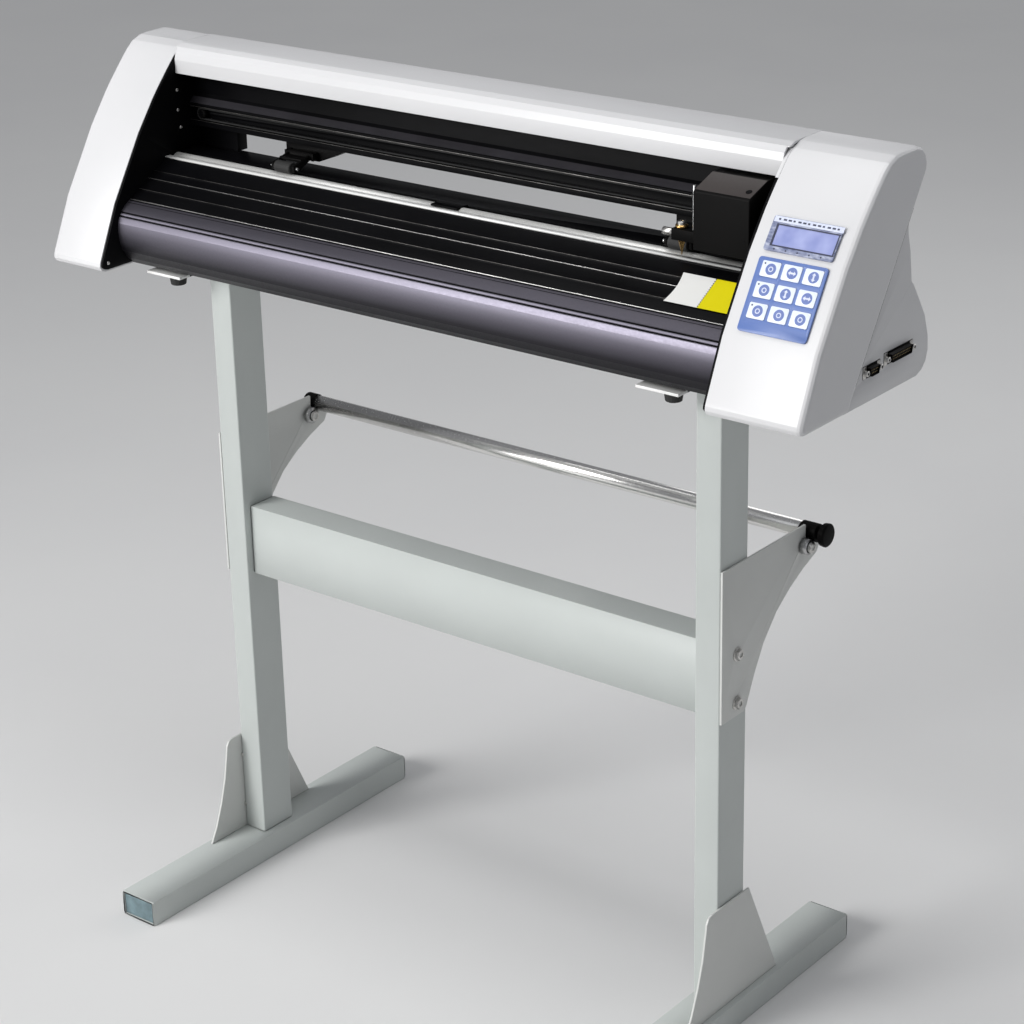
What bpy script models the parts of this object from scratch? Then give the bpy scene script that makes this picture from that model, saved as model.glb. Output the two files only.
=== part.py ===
"""Vinyl cutter on its floor stand. Metres, +Z up, -Y is the front, +X is the control-panel side."""

import math

import bmesh
import bpy
from mathutils import Vector

# Stand
LEG_X = 0.3255
LEG_W, LEG_D = 0.030, 0.049
LEG_Z0, LEG_Z1 = 0.0305, 0.7267
SADDLE_W, SADDLE_D, SADDLE_T = 0.060, 0.090, 0.003
BASE_W, BASE_H, BASE_L = 0.0495, 0.0302, 0.445
WALL = 0.002
GAP = 0.0003
BAR_Y0, BAR_Y1, BAR_Z0, BAR_Z1 = -0.0146, 0.0246, 0.3662, 0.4495
PLATE_T = 0.0025
PLATE_X = LEG_X + LEG_W / 2 + GAP
ROD_Y, ROD_Z, ROD_R, ROD_BORE_R = 0.138, 0.5235, 0.009, 0.0075
ROD_END = {"left": 0.3382, "right": 0.3330}
COLLAR_R, COLLAR_END, NOTCH_R = 0.010, 0.3530, 0.0103
ROLLER_Y, ROLLER_Z, ROLLER_BORE_R, STUD_R, STUD_HEAD_R = 0.1223, 0.5131, 0.0032, 0.0030, 0.0055
# Each roller's face nearer its arm, its face farther from it, and its radius
ROLLER = {"left": (0.3382, 0.3322, 0.0095), "right": (0.3440, 0.3520, 0.0085)}

# Body of the machine
LEFT_IN, RIGHT_IN, OUT_X = -0.4129, 0.3844, 0.489
SHELL_T, HOUSING_T, COVER_T = 0.003, 0.0025, 0.0025
LP_OUT, LP_IN, RP_IN, RP_OUT = -0.4126, -0.4096, 0.3812, 0.3841
SPAN0, SPAN1 = LP_IN + GAP, RP_IN - GAP
HOUSING_X = 0.479
CAP_EDGE_R, CAP_EDGE_STEPS = 0.0055, 3
FOOT_X, FOOT_Y = {"left": -0.3547, "right": 0.3077}, -0.0580

# Feed drive
GRIT_Y, GRIT_Z, GRIT_R, JOURNAL_R, JOURNAL_BORE_R = 0.0036, 0.8375, 0.008, 0.0050, 0.00508
NECK_R, NECK_X0, NECK_X1 = 0.0055, -0.0350, 0.0020
GEAR_TEETH, PINION_TEETH, MODULE = 24, 8, 0.002125
GEAR_X0, GEAR_X1 = -0.4268, -0.4215
PINION_Z = GRIT_Z - MODULE * (GEAR_TEETH + PINION_TEETH) / 2
SHAFT_R, SHAFT_BORE_R = 0.0025, 0.0026
MOTOR = 0.042

# Carriage drive
BELT_Z, BELT_Y0, BELT_Y1, BELT_IN_R, BELT_OUT_R = 0.8849, 0.0315, 0.0375, 0.0054, 0.0066
IDLER_X, DRIVE_X, PULLEY_R = -0.3920, 0.4250, 0.0052
CAR_X0, CAR_X1 = 0.3070, 0.3700
TOOL_X, TOOL_Y, HOLDER_R = 0.2835, -0.0100, 0.0050
CLAMP_Z = 0.8675

# Pinch rollers
PINCH_X = {"left": -0.2430, "right": 0.2720}
PINCH_R, AXLE_R, AXLE_BORE_R = 0.0065, 0.0017, 0.0018
PINCH_Z = GRIT_Z + GRIT_R + GAP + PINCH_R
PIVOT_Y, PIVOT_Z, PIVOT_R, PIVOT_BORE_R = 0.0300, 0.8600, 0.0020, 0.0021

# Control panel: its two flat faces, each from its lower to its upper edge in Y and Z
KEY_FACE = ((-0.0905, 0.8065), (-0.0468, 0.8765))
LCD_FACE = ((-0.0468, 0.8765), (-0.0215, 0.9100))
PANEL_X0, PANEL_X1, PANEL_S0, PANEL_S1, PANEL_T = 0.3980, 0.4720, 0.0077, 0.0796, 0.0020
KEY_COLUMNS = (0.4134, 0.43625, 0.4591)
KEY_ROWS = (0.0686, 0.0484, 0.0283)
KEY_W, KEY_H, KEY_LIFT, KEY_T = 0.0194, 0.0150, 0.0011, 0.0018

# Electrics
HOUSING_FLOOR = 0.7328
BOARD_X0, BOARD_X1, BOARD_Y0, BOARD_Y1, BOARD_Z, BOARD_T = 0.1500, 0.3700, 0.0120, 0.1000, 0.7440, 0.0016
# Each port: centre in Y and Z, flange length, shell width, jackscrew distance from the centre
PORTS = ((0.0175, 0.7610, 0.0308, 0.0169, 0.0125), (0.0665, 0.7640, 0.0530, 0.0389, 0.0235))
PORT_H = 0.0125
INLET_Y0, INLET_Y1, INLET_Z0, INLET_Z1 = 0.0330, 0.0870, 0.7590, 0.7820
ROCKER_TILT, ROCKER_X, ROCKER_Y, ROCKER_Z = math.radians(8), -0.4745, 0.0450, 0.7705

# Side outline of the end caps, and of what fits in them
CAP = [
    (-0.1110, 0.7352), (-0.1162, 0.7372), (-0.1188, 0.7415), (-0.1182, 0.7460), (-0.1165, 0.7500),
    (-0.1050, 0.7750), KEY_FACE[0], KEY_FACE[1], LCD_FACE[1], (-0.0125, 0.9205), (0.0030, 0.9375),
    (0.0150, 0.9500), (0.0250, 0.9580), (0.0370, 0.9625), (0.0480, 0.9635), (0.0740, 0.9635),
    (0.0840, 0.9600), (0.0905, 0.9530), (0.0934, 0.9440), (0.0927, 0.9371), (-0.0312, 0.7448),
    (-0.0340, 0.7390), (-0.0385, 0.7352),
]
CAVITY = [
    (-0.1095, 0.7382), (-0.1145, 0.7400), (-0.1158, 0.7425), (-0.1152, 0.7455), (-0.1022, 0.7740),
    (-0.0876, 0.8055), (-0.0442, 0.8752), (-0.0190, 0.9083), (-0.0100, 0.9186), (0.0055, 0.9358),
    (0.0170, 0.9478), (0.0265, 0.9554), (0.0380, 0.9596), (0.0480, 0.9605), (0.0730, 0.9605),
    (0.0820, 0.9572), (0.0876, 0.9512), (0.0903, 0.9435), (0.0900, 0.9385), (0.0735, 0.9120),
    (0.0900, 0.9120), (-0.0200, 0.7382),
]
SIDE = [
    (-0.1100, 0.7378), (-0.1150, 0.7392), (-0.1174, 0.7425), (-0.1168, 0.7465), (-0.1038, 0.7756),
    (-0.0893, 0.8072), (-0.0457, 0.8773), (-0.0205, 0.9108), (-0.0114, 0.9214), (0.0040, 0.9383),
    (0.0160, 0.9507), (0.0245, 0.9570), (0.0300, 0.9588), (0.0755, 0.9588), (0.0790, 0.9050),
    (0.0810, 0.8780), (0.0830, 0.8465), (0.0522, 0.8465), (0.0522, 0.7378),
]
HOUSING = [
    (-0.0300, 0.7300), (0.1030, 0.7300), (0.1130, 0.7335), (0.1200, 0.7405), (0.1237, 0.7510),
    (0.1228, 0.7660), (0.1155, 0.7880), (0.1044, 0.8060), (0.0915, 0.8255), (0.0535, 0.8433),
]
EAR = [(0.0905, 0.8262), (0.0880, 0.8290), (0.0837, 0.8604), (0.0790, 0.8776), (0.0778, 0.9050)]
COVER = [
    (0.0128, 0.9320), (0.0130, 0.9470), (0.0150, 0.9545), (0.0200, 0.9600), (0.0280, 0.9630),
    (0.0360, 0.9635), (0.0760, 0.9635), (0.0800, 0.9610), (0.0812, 0.9570), (0.0812, 0.8580),
]
FRONT = [
    (-0.0695, 0.8085), (-0.0781, 0.8030), (-0.0836, 0.7982), (-0.0834, 0.7970), (-0.0842, 0.7962),
    (-0.0852, 0.7959), (-0.0862, 0.7945), (-0.0860, 0.7932), (-0.0866, 0.7924), (-0.0877, 0.7918),
    (-0.0900, 0.7860), (-0.0912, 0.7760), (-0.0902, 0.7650), (-0.0868, 0.7545), (-0.0806, 0.7448),
    (-0.0720, 0.7370), (-0.0600, 0.7325), (-0.0480, 0.7308), (-0.0320, 0.7303), (-0.0320, 0.7323),
    (-0.0478, 0.7328), (-0.0596, 0.7346), (-0.0711, 0.7390), (-0.0792, 0.7464), (-0.0850, 0.7558),
    (-0.0882, 0.7658), (-0.0892, 0.7758), (-0.0879, 0.7850), (-0.0855, 0.7910), (-0.0825, 0.7955),
    (-0.0768, 0.8013), (-0.0684, 0.8067),
]
BEAM = [
    (0.0300, 0.8712), (0.0720, 0.8712), (0.0720, 0.9300), (0.0400, 0.9300), (0.0400, 0.9055),
    (0.0300, 0.8951), (0.0300, 0.8925), (0.0390, 0.8925), (0.0390, 0.8773), (0.0300, 0.8773),
]
CARRIAGE = [
    (-0.0260, 0.8590), (-0.0260, 0.9160), (-0.0245, 0.9178), (0.0060, 0.9285), (0.0385, 0.9285),
    (0.0385, 0.9050), (0.0295, 0.9050), (0.0295, 0.8700), (-0.0125, 0.8700), (-0.0125, 0.8590),
]
GUSSET = [
    (-0.0835, 0.0305), (-0.0740, 0.0480), (-0.0630, 0.0760), (-0.0545, 0.1050), (-0.0490, 0.1350),
    (-0.0475, 0.1450), (-0.0440, 0.1510), (-0.0380, 0.1530), (0.0310, 0.1530), (0.0870, 0.0305),
]
ARM = [
    (-0.0245, 0.3665), (0.0155, 0.3665), (0.0205, 0.3700), (0.0355, 0.4020), (0.0520, 0.4305),
    (0.0750, 0.4560), (0.1000, 0.4735), (0.1250, 0.4865), (0.1500, 0.4965), (0.1545, 0.5040),
    (0.1545, 0.5150),
]
for angle in range(-40, -181, -20):
    turn = math.radians(angle)
    ARM.append((ROD_Y + NOTCH_R * math.cos(turn), ROD_Z + NOTCH_R * math.sin(turn)))
ARM += [(ROD_Y - NOTCH_R, 0.5345), (-0.0245, 0.5345)]
ARM_BOLTS = ((0.0030, 0.4360), (0.0030, 0.3815))

# How a shape drawn in local X and Y, and carried along local Z, is turned to run along each world axis
TURN = {"X": (math.pi / 2, 0, math.pi / 2), "Y": (math.pi / 2, 0, 0), "Z": (0, 0, 0)}
MERGE = 0.000001

for item in list(bpy.data.objects):
    bpy.data.objects.remove(item, do_unlink=True)

part = bpy.data.collections.new("vinyl_cutter")
helpers = bpy.data.collections.new("helpers")
for group in (part, helpers):
    bpy.context.scene.collection.children.link(group)
helpers.hide_render = True


def material(name, colour, rough, metal=0.0):
    made = bpy.data.materials.new(name)
    made.use_nodes = True
    shader = made.node_tree.nodes["Principled BSDF"]
    shader.inputs["Base Color"].default_value = (*colour, 1)
    shader.inputs["Roughness"].default_value = rough
    shader.inputs["Metallic"].default_value = metal
    made.diffuse_color = (*colour, 1)
    return made


WHITE = material("shell_white", (0.86, 0.86, 0.87), 0.3)
PAINT = material("stand_paint", (0.68, 0.71, 0.68), 0.4)
INSERT = material("plug_grey", (0.36, 0.43, 0.45), 0.5)
BLACK = material("black_steel", (0.012, 0.012, 0.013), 0.45)
ANODISED = material("black_anodised", (0.02, 0.02, 0.022), 0.35, 0.5)
SATIN = material("satin_black", (0.03, 0.03, 0.035), 0.3, 0.3)
SILVER = material("bare_aluminium", (0.75, 0.76, 0.77), 0.3, 1.0)
CHROME = material("chrome", (0.8, 0.8, 0.8), 0.1, 1.0)
STEEL = material("steel", (0.55, 0.55, 0.56), 0.35, 1.0)
BRASS = material("brass", (0.72, 0.5, 0.22), 0.3, 1.0)
RUBBER = material("black_rubber", (0.015, 0.015, 0.015), 0.8)
PLASTIC = material("black_plastic", (0.02, 0.02, 0.02), 0.4)
BLUE = material("panel_blue", (0.2, 0.28, 0.55), 0.4)
KEY = material("key_white", (0.85, 0.88, 0.92), 0.4)
LCD = material("display", (0.5, 0.53, 0.75), 0.25)
BOARD = material("circuit_board", (0.03, 0.2, 0.08), 0.5)


def shape(mesh, location=(0, 0, 0), turned_by=(0, 0, 0)):
    """An object of the bmesh, in no collection yet."""
    data = bpy.data.meshes.new("shape")
    mesh.to_mesh(data)
    mesh.free()
    data.shade_smooth()
    data.set_sharp_from_angle(angle=math.radians(30))
    item = bpy.data.objects.new("shape", data)
    item.location, item.rotation_euler = location, turned_by
    return item


def box(x0, x1, y0, y1, z0, z1):
    mesh = bmesh.new()
    bmesh.ops.create_cube(mesh, size=1)
    bmesh.ops.scale(mesh, vec=(x1 - x0, y1 - y0, z1 - z0), verts=mesh.verts)
    return shape(mesh, ((x0 + x1) / 2, (y0 + y1) / 2, (z0 + z1) / 2))


def flat(outline, thickness):
    """A bmesh of the outline in X and Y, thickened about Z = 0."""
    curve = bpy.data.curves.new("outline", "CURVE")
    curve.dimensions, curve.fill_mode, curve.extrude = "2D", "BOTH", thickness / 2
    spline = curve.splines.new("POLY")
    spline.points.add(len(outline) - 1)
    for point, (a, b) in zip(spline.points, outline):
        point.co = (a, b, 0, 1)
    spline.use_cyclic_u = True
    item = bpy.data.objects.new("outline", curve)
    helpers.objects.link(item)
    data = bpy.data.meshes.new_from_object(item.evaluated_get(bpy.context.evaluated_depsgraph_get()))
    mesh = bmesh.new()
    mesh.from_mesh(data)
    bmesh.ops.remove_doubles(mesh, verts=mesh.verts, dist=MERGE)
    bmesh.ops.recalc_face_normals(mesh, faces=mesh.faces)
    bpy.data.objects.remove(item)
    bpy.data.curves.remove(curve)
    bpy.data.meshes.remove(data)
    return mesh


def place_on(axis, a, b, along):
    """A world point from its two coordinates across the axis, in X, Y, Z order, and its position along it."""
    return {"X": (along, a, b), "Y": (a, along, b), "Z": (a, b, along)}[axis]


def prism(axis, outline, low, high, centre=(0, 0)):
    """The outline carried along a world axis. It is drawn in the two other axes, with its origin at centre."""
    moved = [(a - centre[0], b - centre[1]) for a, b in outline]
    return shape(flat(moved, high - low), place_on(axis, *centre, (low + high) / 2), TURN[axis])


def rod(axis, a, b, low, high, radius, count=24):
    """A plain cylinder along a world axis."""
    mesh = bmesh.new()
    bmesh.ops.create_cone(mesh, cap_ends=True, segments=count, radius1=radius, radius2=radius, depth=high - low)
    return shape(mesh, place_on(axis, a, b, (low + high) / 2), TURN[axis])


def turned(axis, a, b, profile, count=24):
    """A turned solid about a world axis. The profile holds (position along the axis, radius) pairs."""
    middle = (profile[0][0] + profile[-1][0]) / 2
    sign = -1 if axis == "Y" else 1
    line = [(radius, sign * (along - middle)) for along, radius in profile]
    if line[0][1] < line[-1][1]:
        line.reverse()
    line = [(0, line[0][1])] + line + [(0, line[-1][1])]
    mesh = bmesh.new()
    verts = [mesh.verts.new((radius, 0, height)) for radius, height in line]
    for pair in zip(verts, verts[1:]):
        mesh.edges.new(pair)
    item = shape(mesh, place_on(axis, a, b, middle), TURN[axis])
    spin = item.modifiers.new("turn", "SCREW")
    spin.steps = spin.render_steps = count
    spin.use_merge_vertices, spin.merge_threshold = True, MERGE
    return item


def sheet(line, x0, x1, thickness):
    """A sheet that follows the line in Y and Z. A positive thickness is to the line's left, seen from +X."""
    mesh = bmesh.new()
    verts = [mesh.verts.new((x0, y, z)) for y, z in line]
    edges = [mesh.edges.new(pair) for pair in zip(verts, verts[1:])]
    made = bmesh.ops.extrude_edge_only(mesh, edges=edges)["geom"]
    bmesh.ops.translate(mesh, vec=(x1 - x0, 0, 0), verts=[v for v in made if isinstance(v, bmesh.types.BMVert)])
    mesh.normal_update()
    along = Vector((0, line[1][0] - line[0][0], line[1][1] - line[0][1]))
    if edges[0].link_faces[0].normal.dot(Vector((1, 0, 0)).cross(along)) < 0:
        bmesh.ops.reverse_faces(mesh, faces=mesh.faces)
    item = shape(mesh)
    thicken = item.modifiers.new("thickness", "SOLIDIFY")
    thicken.thickness, thicken.use_even_offset = abs(thickness), True
    thicken.offset = 1 if thickness > 0 else -1
    return item


def solid(name, base, made, add=(), cut=()):
    """One node: a base shape with others joined to it and others cut from it."""
    base.name = base.data.name = name
    base.data.materials.append(made)
    part.objects.link(base)
    for operation, tools in (("UNION", add), ("DIFFERENCE", cut)):
        for i, tool in enumerate(tools):
            tool.name = tool.data.name = f"{name}_{operation.lower()}_{i}"
            helpers.objects.link(tool)
            tool.hide_render = True
            tool.display_type = "WIRE"
            step = base.modifiers.new(tool.name, "BOOLEAN")
            step.operation, step.solver, step.object = operation, "EXACT", tool
    return base


def rounded(width, height, radius, count):
    """A rectangle about the origin with rounded corners, each of count steps."""
    a, b = width / 2 - radius, height / 2 - radius
    points = []
    for quarter, (x, y) in enumerate(((a, b), (-a, b), (-a, -b), (a, -b))):
        for i in range(count + 1):
            angle = math.pi / 2 * (quarter + i / count)
            points.append((x + radius * math.cos(angle), y + radius * math.sin(angle)))
    return points


def gear(teeth, a, b, phase):
    """Outline of a short-toothed gear with running backlash."""
    radius, pitch = MODULE * teeth / 2, 2 * math.pi / teeth
    points = []
    for i in range(teeth):
        for share, depth in ((-0.23, -0.0013), (-0.11, 0.0008), (0.11, 0.0008), (0.23, -0.0013)):
            angle = phase + pitch * (i + share)
            points.append((a + (radius + depth) * math.cos(angle), b + (radius + depth) * math.sin(angle)))
    return points


# ---- Stand ----

for side, s in (("left", -1), ("right", 1)):
    x = s * LEG_X

    def span(near, far, s=s):
        """The two ends of a stretch, in rising order, from its distances to the middle of the machine."""
        return sorted((s * near, s * far))

    solid(
        f"base_beam_{side}",
        box(x - BASE_W / 2, x + BASE_W / 2, -BASE_L / 2, BASE_L / 2, 0, BASE_H),
        PAINT,
        cut=[box(x - BASE_W / 2 + WALL, x + BASE_W / 2 - WALL, -BASE_L, BASE_L, WALL, BASE_H - WALL)],
    )
    reach = BASE_W / 2 - WALL - GAP
    solid(
        f"base_plug_{side}",
        box(x - reach, x + reach, -BASE_L / 2 + 0.0015, -BASE_L / 2 + 0.0140, WALL + GAP, BASE_H - WALL - GAP),
        INSERT,
    )
    saddle = box(
        x - SADDLE_W / 2, x + SADDLE_W / 2, -SADDLE_D / 2, SADDLE_D / 2, LEG_Z1 - 0.001, LEG_Z1 + SADDLE_T
    )
    inside = (LEG_W / 2 - WALL, LEG_D / 2 - WALL)
    solid(
        f"leg_{side}",
        box(x - LEG_W / 2, x + LEG_W / 2, -LEG_D / 2, LEG_D / 2, LEG_Z0, LEG_Z1),
        PAINT,
        add=[saddle],
        cut=[box(x - inside[0], x + inside[0], -inside[1], inside[1], 0, LEG_Z1 - 0.002)],
    )
    solid(f"gusset_{side}", prism("X", GUSSET, *span(PLATE_X, PLATE_X + PLATE_T)), PAINT)
    face = PLATE_X + PLATE_T
    head = [(face - 0.001, 0.0062), (face + 0.0023, 0.0056), (face + 0.0037, 0.0035)]
    near, far, radius = ROLLER[side]
    away = 1 if far > near else -1
    stud = [
        (PLATE_X + 0.001, STUD_R), (far + away * GAP, STUD_R), (far + away * (GAP + 0.0001), STUD_HEAD_R),
        (far + away * 0.0035, STUD_HEAD_R),
    ]
    solid(
        f"roll_arm_{side}",
        prism("X", ARM, *span(PLATE_X, face)),
        PAINT,
        add=[turned("X", y, z, [(s * t, r) for t, r in head], 12) for y, z in ARM_BOLTS]
        + [turned("X", ROLLER_Y, ROLLER_Z, [(s * t, r) for t, r in stud], 16)],
    )
    solid(
        f"support_roller_{side}",
        rod("X", ROLLER_Y, ROLLER_Z, *span(near, far), radius),
        STEEL,
        cut=[rod("X", ROLLER_Y, ROLLER_Z, *span(near - away * 0.001, far + away * 0.001), ROLLER_BORE_R, 16)],
    )
    end = ROD_END[side] + GAP
    plug = [(0.3180, 0.0070), (end - 0.001, 0.0072), (end, 0.0072)]
    plug += [(end + 0.0001, COLLAR_R), (COLLAR_END, COLLAR_R)]
    if side == "left":
        plug += [(COLLAR_END + 0.0015, 0.0085)]
    else:
        plug += [(0.3545, 0.0065), (0.3560, 0.0065), (0.3585, 0.0122), (0.3635, 0.0128), (0.3650, 0.0112)]
    solid(f"rod_plug_{side}", turned("X", ROD_Y, ROD_Z, [(s * t, r) for t, r in plug], 20), PLASTIC)

solid(
    "crossbar",
    box(-LEG_X + LEG_W / 2 + GAP, LEG_X - LEG_W / 2 - GAP, BAR_Y0, BAR_Y1, BAR_Z0, BAR_Z1),
    PAINT,
    cut=[box(-LEG_X, LEG_X, BAR_Y0 + WALL, BAR_Y1 - WALL, BAR_Z0 + WALL, BAR_Z1 - WALL)],
)
solid(
    "media_rod",
    rod("X", ROD_Y, ROD_Z, -ROD_END["left"], ROD_END["right"], ROD_R),
    CHROME,
    cut=[rod("X", ROD_Y, ROD_Z, -0.36, 0.36, ROD_BORE_R)],
)

# ---- Shells and frame of the machine ----


def cap_shape(outer, inner):
    """The cap's outline carried to its inner face, with the rim of its outer face rounded by insets."""
    s = 1 if outer > 0 else -1
    item = prism("X", CAP, *sorted((outer - s * CAP_EDGE_R, inner)))
    mesh = bmesh.new()
    mesh.from_mesh(item.data)
    rim = max(s * v.co.z for v in mesh.verts) - MERGE
    ends = [f for f in mesh.faces if all(s * v.co.z > rim for v in f.verts)]
    end = bmesh.ops.dissolve_faces(mesh, faces=ends)["region"]
    step = math.pi / 2 / CAP_EDGE_STEPS
    for i in range(CAP_EDGE_STEPS):
        inward = CAP_EDGE_R * (math.cos(step * i) - math.cos(step * (i + 1)))
        outward = CAP_EDGE_R * (math.sin(step * (i + 1)) - math.sin(step * i))
        bmesh.ops.inset_region(mesh, faces=end, thickness=inward, depth=outward, use_even_offset=True)
    mesh.to_mesh(item.data)
    mesh.free()
    return item


for side, outer, inner in (("left", -OUT_X, LEFT_IN), ("right", OUT_X, RIGHT_IN)):
    s = 1 if outer > 0 else -1
    solid(
        f"end_cap_{side}",
        cap_shape(outer, inner),
        WHITE,
        cut=[prism("X", CAVITY, *sorted((outer - s * SHELL_T, inner - s * 0.01)))],
    )

solid(
    "side_plate_left",
    prism("X", SIDE, LP_OUT, LP_IN),
    BLACK,
    cut=[
        rod("X", GRIT_Y, GRIT_Z, LP_OUT - 0.01, LP_IN + 0.01, JOURNAL_BORE_R),
        rod("X", GRIT_Y, PINION_Z, LP_OUT - 0.01, LP_IN + 0.01, 0.0060, 16),
    ],
)
solid(
    "side_plate_right",
    prism("X", SIDE, RP_IN, RP_OUT),
    BLACK,
    cut=[
        rod("X", GRIT_Y, GRIT_Z, RP_IN - 0.01, RP_OUT + 0.01, JOURNAL_BORE_R),
        box(RP_IN - 0.01, RP_OUT + 0.01, 0.0290, 0.0405, BELT_Z - 0.0085, BELT_Z + 0.0085),
    ],
)

wall_middle, wall_inset = Vector((0.0450, 0.7850)), 0.0012
end_wall = [(-0.0290, 0.7310)]
for point in HOUSING[1:9]:
    toward = wall_middle - Vector(point)
    end_wall.append(tuple(Vector(point) + toward.normalized() * wall_inset))
end_wall += [(0.0873, 0.8290), (0.0828, 0.8604), (0.0781, 0.8776), (0.0769, 0.9042), (0.0726, 0.9042)]
end_wall += [(-0.0290, 0.7450)]
walls, windows = [], []
for s, inner in ((-1, LEFT_IN - 0.0004), (1, RIGHT_IN + 0.0004)):
    walls.append(prism("X", end_wall, *sorted((s * HOUSING_X, s * (HOUSING_X - HOUSING_T)))))
    walls.append(sheet(EAR, *sorted((s * (HOUSING_X - 0.0010), inner)), HOUSING_T))
for y, z, flange, width, screw in PORTS:
    half = flange / 2 + GAP
    windows.append(box(0.47, 0.49, y - half, y + half, z - PORT_H / 2 - GAP, z + PORT_H / 2 + GAP))
windows.append(box(-0.49, -0.47, INLET_Y0 - GAP, INLET_Y1 + GAP, INLET_Z0 - GAP, INLET_Z1 + GAP))
solid(
    "rear_housing",
    sheet(HOUSING, -HOUSING_X + 0.0005, HOUSING_X - 0.0005, HOUSING_T),
    WHITE,
    add=walls,
    cut=windows,
)

solid(
    "beam_cover",
    sheet(COVER, LEFT_IN + 0.0004, RIGHT_IN - 0.0004, -COVER_T),
    WHITE,
    cut=[
        box(LEFT_IN - 0.01, LP_IN + 0.0004, 0, 0.1, 0.85, 0.9592),
        box(RP_IN - 0.0004, RIGHT_IN + 0.01, 0, 0.1, 0.85, 0.9592),
    ],
)

solid(
    "guide_beam",
    prism("X", BEAM, SPAN0, SPAN1),
    ANODISED,
    add=[
        rod("Y", IDLER_X, BELT_Z, 0.0308, 0.0400, SHAFT_R, 16),
        box(SPAN0, -0.3520, 0.0450, 0.0600, 0.8449, 0.8720),
    ],
    cut=[box(SPAN0 - 0.01, SPAN1 + 0.01, 0.0440, 0.0680, 0.8760, 0.9260)],
)

TABLE_FRONT, TABLE_BACK, TABLE_TOP, TABLE_RISE = -0.0685, -0.0128, 0.8405, 0.575
RIBS = (-0.0555, -0.0404, -0.0303)


def table_z(y):
    """Height of the sloping front table."""
    return TABLE_TOP + TABLE_RISE * (y - TABLE_BACK)


table = [(TABLE_FRONT, table_z(TABLE_FRONT))]
for rib in RIBS:
    for offset, rise in ((-0.0009, 0), (-0.0004, 0.0011), (0.0004, 0.0011), (0.0009, 0)):
        table.append((rib + offset, table_z(rib + offset) + rise))
table += [
    (TABLE_BACK, TABLE_TOP), (TABLE_BACK, 0.8417), (-0.0061, 0.8417), (-0.0061, 0.8285), (0.0133, 0.8285),
    (0.0133, 0.8445), (0.0520, 0.8445), (0.0520, 0.8415), (0.0158, 0.8415), (0.0158, 0.8262),
    (-0.0086, 0.8262), (-0.0086, 0.8370), (TABLE_BACK, 0.8370), (-0.0672, table_z(-0.0672) - 0.0035),
]
bridge = [(-0.0036, 0.8440), (-0.0036, 0.8460), (0.0145, 0.8460), (0.0145, 0.8300), (0.0098, 0.8300)]
bridge += [(0.0098, 0.8440)]
solid(
    "platen",
    prism("X", table, SPAN0, SPAN1),
    ANODISED,
    add=[prism("X", bridge, NECK_X0 + 0.001, NECK_X1 - 0.001)],
)
solid("cutting_strip", box(SPAN0, SPAN1, -0.0118, -0.0040, 0.8420, 0.8436), SILVER)
solid("front_cover", prism("X", FRONT, SPAN0, SPAN1), SATIN)

for side, x in FOOT_X.items():
    solid(
        f"foot_{side}",
        turned("Z", x, FOOT_Y, [(0.7180, 0.0085), (0.7270, 0.0098)], 16),
        RUBBER,
        add=[
            box(x - 0.0380, x + 0.0120, -0.0600, -0.0450, 0.7262, 0.7290),
            box(x - 0.0380, x + 0.0120, -0.0530, -0.0450, 0.7280, 0.7303),
        ],
    )

# ---- Feed drive ----

shaft = [
    (-0.4280, JOURNAL_R), (-0.4060, JOURNAL_R), (-0.4059, GRIT_R), (NECK_X0, GRIT_R),
    (NECK_X0 + 0.0001, NECK_R), (NECK_X1 - 0.0001, NECK_R), (NECK_X1, GRIT_R), (0.3775, GRIT_R),
    (0.3776, JOURNAL_R), (0.3900, JOURNAL_R),
]
solid(
    "grit_shaft",
    turned("X", GRIT_Y, GRIT_Z, shaft),
    STEEL,
    add=[prism("X", gear(GEAR_TEETH, GRIT_Y, GRIT_Z, math.pi / 2), GEAR_X0, GEAR_X1)],
)
pinion_phase = math.pi / 2 + math.pi / PINION_TEETH
solid(
    "feed_pinion",
    prism("X", gear(PINION_TEETH, GRIT_Y, PINION_Z, pinion_phase), GEAR_X0, GEAR_X1, (GRIT_Y, PINION_Z)),
    BRASS,
    cut=[rod("X", GRIT_Y, PINION_Z, GEAR_X0 - 0.01, GEAR_X1 + 0.01, SHAFT_BORE_R, 16)],
)
reach = MOTOR / 2
solid(
    "feed_motor",
    box(SPAN0, SPAN0 + 0.040, GRIT_Y - reach, GRIT_Y + reach, PINION_Z - reach, PINION_Z + reach),
    PLASTIC,
    add=[rod("X", GRIT_Y, PINION_Z, -0.4290, SPAN0 + 0.001, SHAFT_R, 16)],
)

# ---- Carriage drive ----


def belt(radius, low, high, count=8):
    """A solid round both pulleys, with this radius about their axes."""
    points = []
    for x, s in ((IDLER_X, 1), (DRIVE_X, -1)):
        for i in range(count + 1):
            angle = math.pi / 2 + math.pi * i / count
            points.append((x + s * radius * math.cos(angle), BELT_Z + s * radius * math.sin(angle)))
    return prism("Y", points, low, high)


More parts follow.
